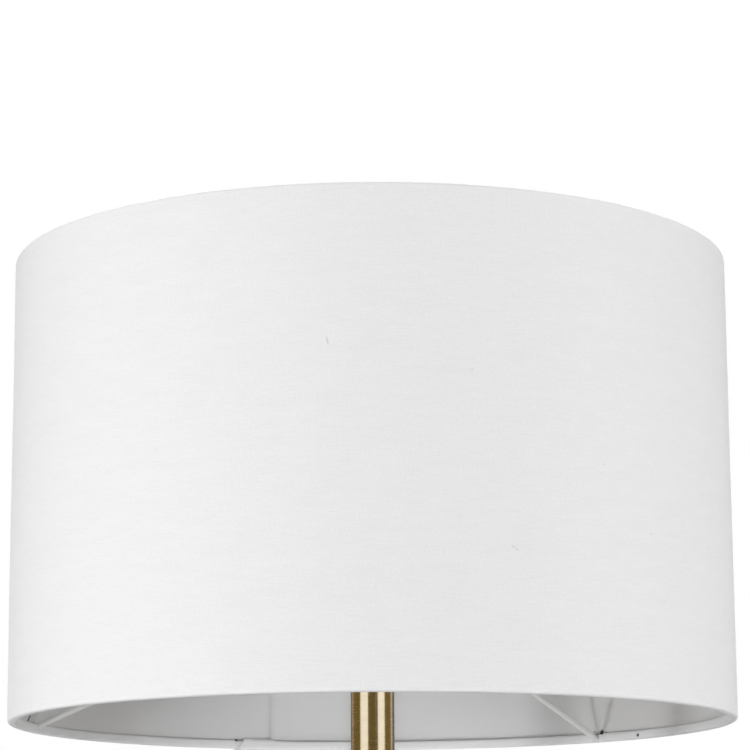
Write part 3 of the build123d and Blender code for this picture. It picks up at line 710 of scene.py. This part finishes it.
def make_fabric():
    """The cloth drum, with a map of the flat cloth in metres."""
    angles = cloth_angles()
    vertices, faces = skin([cloth_loop(angle) for angle in angles], False)
    mesh = bpy.data.meshes.new("shade_cloth")
    mesh.from_pydata(vertices, [], faces)
    path = cloth_path(0, HEM_TURN, 0)
    lengths = [0.0]
    for here, there in zip(path, path[1:]):
        lengths.append(lengths[-1] + math.dist(here, there))
    across = lengths + lengths[::-1]
    layer = mesh.uv_layers.new(name="Cloth")
    for loop in mesh.loops:
        station, row = divmod(loop.vertex_index, len(across))
        layer.uv[loop.index].vector = (angles[station] * SHADE_RADIUS, across[row])
    piece = add_piece("shade_cloth", mesh, "shade_fabric", CLOTH_SHARP_DEGREES)


def make_liner():
    """The plastic drum inside the cloth, its inner edge lifted a little at the seam."""
    length = math.tau + LINER_LAP
    count = round(length / STATION_STEP) * LINER_FINENESS
    rows = [liner_low.z + (liner_high.z - liner_low.z) * row / LINER_ROWS for row in range(LINER_ROWS + 1)]
    loops = []
    for index in range(count + 1):
        along = length * index / count
        angle = SEAM_ANGLE - along
        covered = 1 - smooth_step((along - LINER_LAP) / LAP_RAMP)
        curled = 1 - smooth_step(along / LINER_CURL_RAMP)
        inwards = covered * LINER_THICKNESS * LINER_LAP_SHARE + curled * LINER_CURL
        outside = [polar(liner_high.x - inwards + wobble(angle, row), angle, row) for row in rows]
        inside = [polar(LINER_FACE - inwards + wobble(angle, row), angle, row) for row in reversed(rows)]
        loops.append(outside + inside)
    mesh = clean_mesh("shade_lining", *skin(loops, False))
    add_piece("shade_lining", mesh, "shade_liner", CLOTH_SHARP_DEGREES)


def rod(points, radii):
    """Vertices and faces of a closed round bar along a straight run of points, with a radius at each."""
    way = (points[-1] - points[0]).normalized()
    side = way.orthogonal().normalized()
    over = way.cross(side)
    outline = [side * math.cos(turn) + over * math.sin(turn) for turn in round_turns(ROD_SEGMENTS)]
    loops = [[point + away * radius for away in outline] for point, radius in zip(points, radii)]
    vertices, faces = skin(loops, True)
    last_loop = ROD_SEGMENTS * (len(loops) - 1)
    faces = faces[:last_loop]
    faces.append(tuple(range(ROD_SEGMENTS)))
    faces.append(tuple(range(last_loop, last_loop + ROD_SEGMENTS)))
    return vertices, faces


def make_arms():
    """The three rods of the spider, each with a bead of weld at the ring and at the washer."""
    washer_low, washer_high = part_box("fitter_ring")
    head_height = (washer_low.z + washer_high.z) / 2 - ARM_RADIUS
    vertices = []
    faces = []
    for arm, (inset, rise) in zip(ARM_ANGLES, ARM_FEET):
        foot = polar(RING_RADIUS - inset, arm, LOW_RING + rise)
        head = polar(ARM_HEAD_RADIUS, arm, head_height)
        length = (head - foot).length
        reaches = [reach * MM for reach, _ in FOOT_BEAD] + [length + reach * MM for reach, _ in HEAD_BEAD]
        points = [foot + (head - foot) * (reach / length) for reach in reaches]
        radii = [ARM_RADIUS * share for _, share in FOOT_BEAD + HEAD_BEAD]
        more_vertices, more_faces = rod(points, radii)
        base = len(vertices)
        vertices += more_vertices
        faces += [tuple(base + index for index in face) for face in more_faces]
    mesh = clean_mesh("spider_rods", vertices, faces)
    add_piece("spider_rods", mesh, "spider_arms", ROD_SHARP_DEGREES)


def make_fitter():
    """The fitter washer with its edges rolled smooth."""
    low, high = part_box("fitter_ring")
    bore = 20.15 * MM
    edge = 0.5 * MM
    profile = (
        corner(high.x - edge, low.z + edge, edge, -90)
        + corner(high.x - edge, high.z - edge, edge, 0)
        + corner(bore + edge, high.z - edge, edge, 90)
        + corner(bore + edge, low.z + edge, edge, 180)
    )
    add_piece("fitter_washer", clean_mesh("fitter_washer", *turned(profile, ROUND_SEGMENTS)), "fitter_ring")


# Lampholder and bulb


def threaded(below, above, crest, depth, pitch, low, high):
    """Vertices and faces of an outline that carries a rounded screw thread between two heights."""
    steps = round((high - low) / pitch * ROWS_PER_THREAD)
    rows = [low + (high - low) * step / steps for step in range(steps + 1)]
    loops = []
    for angle in round_turns(ROUND_SEGMENTS):
        loop = [polar(radius, angle, height) for radius, height in below]
        for row in rows:
            swing = math.cos(math.tau * (row - low) / pitch - angle)
            fade = smooth_step((row - low) / pitch) * smooth_step((high - row) / pitch)
            loop.append(polar(crest - depth * (0.5 - 0.5 * swing) * fade, angle, row))
        loops.append(loop + [polar(radius, angle, height) for radius, height in above])
    return skin(loops, True)


def make_sleeve():
    """The lampholder's upper moulding: a shoulder that carries the shade and a threaded neck above it."""
    low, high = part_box("holder_sleeve")
    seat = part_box("fitter_ring")[0].z
    cap_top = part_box("holder_cap")[1].z
    crest = 19.75 * MM
    bore = 17.45 * MM
    spigot = 19.3 * MM
    edge = 0.5 * MM
    thread_depth = 0.8 * MM
    thread_pitch = 2.5 * MM
    thread_low = seat + 0.3 * MM
    below = [(bore, low.z), (spigot, low.z), (spigot, cap_top)]
    below += corner(high.x - edge, cap_top + edge, edge, -90)
    below += corner(high.x - edge, seat - edge, edge, 0)
    below += [(crest, seat)]
    above = corner(crest - edge, high.z - edge, edge, 0)
    above += corner(bore + edge, high.z - edge, edge, 90)
    thread = threaded(below, above, crest, thread_depth, thread_pitch, thread_low, high.z - edge)
    add_piece("threaded_sleeve", clean_mesh("threaded_sleeve", *thread), "holder_sleeve")


def make_bulb_cap():
    """The bulb's pressed screw cap, with its thread and a plain skirt."""
    low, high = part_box("bulb_cap")
    wall = 0.6 * MM
    inner = high.x - 2.4 * wall
    lip = high.x - 3 * wall
    shoulder = high.x - 0.4 * MM
    thread_depth = 1.0 * MM
    thread_pitch = 3.63 * MM
    thread_low = low.z + 1.4 * MM
    thread_high = high.z - 3.0 * MM
    skirt_foot = high.z - 2.6 * MM
    below = [(lip, low.z + wall), (lip, low.z), (high.x - 1.4 * MM, low.z), (shoulder, low.z + 0.8 * MM)]
    above = [(high.x, skirt_foot), (high.x, high.z - 0.3 * MM), (high.x - 0.2 * MM, high.z)]
    above += [(inner, high.z), (inner, low.z + wall)]
    thread = threaded(below, above, high.x, thread_depth, thread_pitch, thread_low, thread_high)
    add_piece("bulb_screw_cap", clean_mesh("bulb_screw_cap", *thread), "bulb_cap")


def make_bulb():
    """The bulb's opal envelope: a ball, a hollow flank and a neck that goes down into the cap."""
    low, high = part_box("bulb_glass")
    cap_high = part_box("bulb_cap")[1]
    ball = high.x
    neck = 13.5 * MM
    neck_edge = 0.8 * MM
    neck_foot = cap_high.z + 0.1 * MM
    stem = cap_high.x - 1.6 * MM
    flank_level = cap_high.z + 4.0 * MM
    ball_level = high.z - ball
    drop = ball_level - flank_level
    flank = (drop**2 + neck**2 - ball**2) / (2 * (ball - neck))
    tilt = math.degrees(math.atan2(drop, neck + flank))
    profile = [(0.0, low.z), (stem, low.z), (stem, neck_foot)]
    profile += arc((neck - neck_edge, cap_high.z + 0.9 * MM), neck_edge, -90, 0, steps=5)
    profile += arc((neck + flank, flank_level), flank, 180, 180 - tilt, steps=16)
    profile += arc((0, ball_level), ball, -tilt, 90, steps=40)[1:]
    add_piece("bulb_envelope", clean_mesh("bulb_envelope", *turned(profile, ROUND_SEGMENTS)), "bulb_glass")


# Pole and base


def make_pole(node):
    """One brass tube with its ends just broken, so that a hairline shows where two tubes meet."""
    low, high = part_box(node)
    bore = high.x - 1.2 * MM
    edge = 0.4 * MM
    profile = (
        [(bore, low.z)]
        + corner(high.x - edge, low.z + edge, edge, -90)
        + [(high.x, low.z + 2 * edge), (high.x, high.z - 2 * edge)]
        + corner(high.x - edge, high.z - edge, edge, 0)
        + [(bore, high.z)]
    )
    name = node + "_tube"
    add_piece(name, clean_mesh(name, *turned(profile, POLE_SEGMENTS)), node)


# Solids that only need their edges rounded, with the width of the rounding
ROUNDED_EDGES = {
    "base_cover": 0.4 * MM,
    "base_collar": 0.4 * MM,
    "socket_cup": 0.3 * MM,
    "shade_lock_ring": 0.3 * MM,
    "holder_cap": 0.5 * MM,
    "switch_knob": 0.25 * MM,
    "cord_bush": 0.4 * MM,
    "base_pad": 0.5 * MM,
    "base_nut": 0.3 * MM,
    "base_washer": 0.2 * MM,
}

make_fabric()
make_liner()
make_arms()
make_fitter()
make_sleeve()
make_bulb_cap()
make_bulb()
for section in ("pole_lower", "pole_middle", "pole_upper"):
    make_pole(section)
for node, width in ROUNDED_EDGES.items():
    add_softened(node, width)
for node, solid in frame["nodes"].items():
    solid.data.materials.clear()
    solid.data.materials.append(MATERIALS[NODE_SLOTS[node]])


# Studio: floor, lights, camera and a white surround

FLOOR_RADIUS = 12.0
FLOOR_HOLE_SHARE = 0.96
FLOOR_GAP = 0.2 * MM
FLOOR_COLOUR = (0.6, 0.6, 0.6)
FLOOR_FADE = (0.1, 2.4)
FLOOR_WHITE = (0.6, 1)
LEVEL_BELOW = 0.14
LEVEL_ABOVE = 0.12
LEVEL_HEIGHTS = (0.0, 0.9)

# Soft boxes round the lamp: direction from the camera's side in degrees, height above the shade's foot,
# size, and the level at which each lights a surface that faces it
LIGHT_DISTANCE = 2.3
SOFT_BOXES = {
    "Left": (-75, 0.12, (1.4, 0.5), 0.345),
    "Front": (3, 1.0, (1.2, 0.4), 0.295),
    "Right": (80, 0.12, (1.4, 0.5), 0.375),
    "Back": (180, 0.6, (1.2, 0.4), 0.44),
    "Front_low": (0, -0.35, (0.15, 0.7), 0.065),
    "Left_low": (-64, -1.12, (0.24, 0.10), 0.15),
    "Middle_low": (-34, -0.40, (0.20, 0.10), 0.14),
    "Right_low": (57, -0.50, (0.8, 0.2), 0.138),
}

# A soft box above the shade, and a narrow beam from below on the far side of the bottom hem
ABOVE_PLACE = (0, 0.7, SHADE_TOP + 2.0)
ABOVE_DISTANCE = 2.24
ABOVE_SIZE = (1.0, 0.6)
ABOVE_LEVEL = 0.24
UNDER_PLACE = (0, -0.9, SHADE_BOTTOM - 0.49)
UNDER_AIM = (-0.010, 0.2, SHADE_BOTTOM - 0.105)
UNDER_RADIUS = 0.03
UNDER_BEAM_DEGREES = 17.0
UNDER_BLEND = 0.4
UNDER_POWER = 7.6

# Screens that only polished metal sees: first and last direction in degrees, and colour
FLAG_DISTANCE = 1.25
FLAG_HEIGHTS = (0.0, 4.0)
FLAG_STEPS = 16
FLAG_FADE = (0.0, 1.0)
FLAG_FOOT = (0.62, 0.59, 0.54)
FLAGS = {
    "flag_front": (245.4, 298.4, (0.115, 0.08, 0.014)),
    "flag_right": (337, 382, (0.165, 0.118, 0.036)),
    "flag_left": (145, 202, (0.15, 0.105, 0.03)),
    "flag_right_edge": (382, 398, (0.5, 0.44, 0.40)),
    "flag_back": (38, 134, (0.14, 0.13, 0.13)),
    "flag_left_edge": (134, 145, (0.48, 0.39, 0.31)),
}

# Camera: how far in front of the lamp's axis and below the shade's foot it stands, its turns and its lens
CAMERA_BACK = 1.5996
CAMERA_DROP = 0.1276
CAMERA_PITCH = math.radians(11.457)
CAMERA_YAW = math.radians(0.087)
CAMERA_ROLL = math.radians(0.333)
FOCAL_PIXELS = 2889.8
IMAGE_PIXELS = 750
SENSOR_WIDTH = 36.0


def seen_directly(tree):
    """1 for rays from the camera, a mirror or glass, and 0 for rays that light the lamp."""
    path = tree.nodes.new("ShaderNodeLightPath")
    seen = compute(tree, "MAXIMUM", path.outputs["Is Camera Ray"], path.outputs["Is Glossy Ray"])
    return compute(tree, "MAXIMUM", seen, path.outputs["Is Transmission Ray"])


def surround_direction(tree):
    """The direction in which a ray leaves for the surround."""
    return tree.nodes.new("ShaderNodeTexCoord").outputs["Generated"]


def make_surround():
    """A white surround that lights the lamp at a lower level than it shows, least of all from above."""
    world = bpy.data.worlds.new("Studio")
    bpy.context.scene.world = world
    world.use_nodes = True
    tree = world.node_tree
    background = tree.nodes["Background"]
    background.inputs["Color"].default_value = (1, 1, 1, 1)
    rise = split_axes(tree, surround_direction(tree))["Z"]
    level = remap(tree, rise, *LEVEL_HEIGHTS, LEVEL_BELOW, LEVEL_ABOVE)
    tree.links.new(compute(tree, "MAXIMUM", level, seen_directly(tree)), background.inputs["Strength"])


def floor_material():
    """A pale matt floor that fades into the white surround and isn't seen from below."""
    material, tree, shader = new_material("Floor", FLOOR_COLOUR, roughness=0.9)
    shader.inputs["Specular IOR Level"].default_value = 0.1
    distance = distance_to(tree, object_place(tree), (0, 0, 0))
    far = compute(tree, "MULTIPLY", remap(tree, distance, *FLOOR_FADE, *FLOOR_WHITE), seen_directly(tree))
    white = add_node(tree, "ShaderNodeEmission", {"Color": (1, 1, 1, 1), "Strength": 1.0})
    faded = add_node(tree, "ShaderNodeMixShader", {0: far, 1: shader.outputs["BSDF"], 2: white.outputs[0]})
    clear = tree.nodes.new("ShaderNodeBsdfTransparent")
    below = tree.nodes.new("ShaderNodeNewGeometry").outputs["Backfacing"]
    final = add_node(tree, "ShaderNodeMixShader", {0: below, 1: faded.outputs[0], 2: clear.outputs[0]})
    tree.links.new(final.outputs[0], tree.nodes["Material Output"].inputs["Surface"])
    return material


def make_floor():
    """A floor that keeps the lamp's shadow, with a hole under the pad."""
    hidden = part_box("base_pad")[1].x * FLOOR_HOLE_SHARE
    turns = round_turns(ROUND_SEGMENTS)
    vertices, faces = skin([[polar(hidden, turn, 0), polar(FLOOR_RADIUS, turn, 0)] for turn in turns], True)
    mesh = bpy.data.meshes.new("floor")
    mesh.from_pydata(vertices, [], [face[::-1] for face in faces[::2]])
    floor = bpy.data.objects.new("floor", mesh)
    floor.location.z = cad_low.z - FLOOR_GAP
    bpy.context.scene.collection.objects.link(floor)
    mesh.materials.append(floor_material())


def make_camera():
    """The photograph's view: a long lens a little below the shade, looking slightly up."""
    place = Vector((0.0, -CAMERA_BACK, SHADE_BOTTOM - CAMERA_DROP))
    level = math.cos(CAMERA_PITCH)
    forward = Vector((math.sin(CAMERA_YAW) * level, math.cos(CAMERA_YAW) * level, math.sin(CAMERA_PITCH)))
    level_right = forward.cross(Vector((0, 0, 1))).normalized()
    level_up = level_right.cross(forward)
    right = level_right * math.cos(CAMERA_ROLL) - level_up * math.sin(CAMERA_ROLL)
    up = level_right * math.sin(CAMERA_ROLL) + level_up * math.cos(CAMERA_ROLL)
    data = bpy.data.cameras.new("Camera")
    data.sensor_width = SENSOR_WIDTH
    data.lens = FOCAL_PIXELS / IMAGE_PIXELS * SENSOR_WIDTH
    camera = bpy.data.objects.new("Camera", data)
    camera.matrix_world = Matrix.Translation(place) @ Matrix((right, up, -forward)).transposed().to_4x4()
    bpy.context.scene.collection.objects.link(camera)
    bpy.context.scene.camera = camera


def add_light(name, lamp, place, aim):
    """Hangs a light at a place, turned towards another, out of sight of the camera and of polished metal."""
    light = bpy.data.objects.new(name, lamp)
    light.location = place
    light.rotation_euler = (Vector(aim) - Vector(place)).to_track_quat("-Z", "Y").to_euler()
    light.visible_glossy = False
    light.visible_camera = False
    bpy.context.scene.collection.objects.link(light)


def add_soft_box(name, place, distance, size, level):
    """A wide soft light at a place, turned towards the shade, as strong as its level asks at a distance."""
    lamp = bpy.data.lights.new(name, "AREA")
    lamp.shape = "RECTANGLE"
    lamp.size, lamp.size_y = size
    lamp.energy = level * (math.pi * distance) ** 2
    add_light(name, lamp, place, SHADE_MIDDLE)


def make_lights():
    """The soft boxes round and above the shade, and the beam from below."""
    for name, (turn, rise, size, level) in SOFT_BOXES.items():
        place = polar(LIGHT_DISTANCE, math.radians(turn - 90), SHADE_BOTTOM + rise)
        distance = (place - Vector(SHADE_MIDDLE)).length
        add_soft_box(name, place, distance, size, level)
    add_soft_box("Above", ABOVE_PLACE, ABOVE_DISTANCE, ABOVE_SIZE, ABOVE_LEVEL)
    beam = bpy.data.lights.new("Under", "SPOT")
    beam.shadow_soft_size = UNDER_RADIUS
    beam.spot_size = math.radians(UNDER_BEAM_DEGREES)
    beam.spot_blend = UNDER_BLEND
    beam.energy = UNDER_POWER
    add_light("Under", beam, UNDER_PLACE, UNDER_AIM)


def flag_material(name, colour):
    """A screen's plain glow, fading to a pale foot."""
    material = bpy.data.materials.new(name)
    material.use_nodes = True
    tree = material.node_tree
    tree.nodes.clear()
    height = split_axes(tree, object_place(tree))["Z"]
    shade = tinted(tree, remap(tree, height, *FLAG_FADE, 0, 1), FLAG_FOOT, colour)
    glow = add_node(tree, "ShaderNodeEmission", {"Color": shade, "Strength": 1.0})
    output = tree.nodes.new("ShaderNodeOutputMaterial")
    tree.links.new(glow.outputs[0], output.inputs["Surface"])
    return material


def add_flag(name, start, end, colour):
    """A tall curved screen that only polished metal sees, between two directions from the lamp."""
    turns = [math.radians(start + (end - start) * step / FLAG_STEPS) for step in range(FLAG_STEPS + 1)]
    vertices = [polar(FLAG_DISTANCE, turn, height) for turn in turns for height in FLAG_HEIGHTS]
    faces = [(2 * step, 2 * step + 2, 2 * step + 3, 2 * step + 1) for step in range(FLAG_STEPS)]
    mesh = bpy.data.meshes.new(name)
    mesh.from_pydata(vertices, [], faces)
    mesh.materials.append(flag_material(name, colour))
    flag = bpy.data.objects.new(name, mesh)
    bpy.context.scene.collection.objects.link(flag)
    flag.visible_camera = False
    flag.visible_diffuse = False
    flag.visible_shadow = False
    flag.visible_transmission = False


make_surround()
make_floor()
make_camera()
make_lights()
for name, flag in FLAGS.items():
    add_flag(name, *flag)

bpy.context.scene.view_settings.view_transform = "Standard"
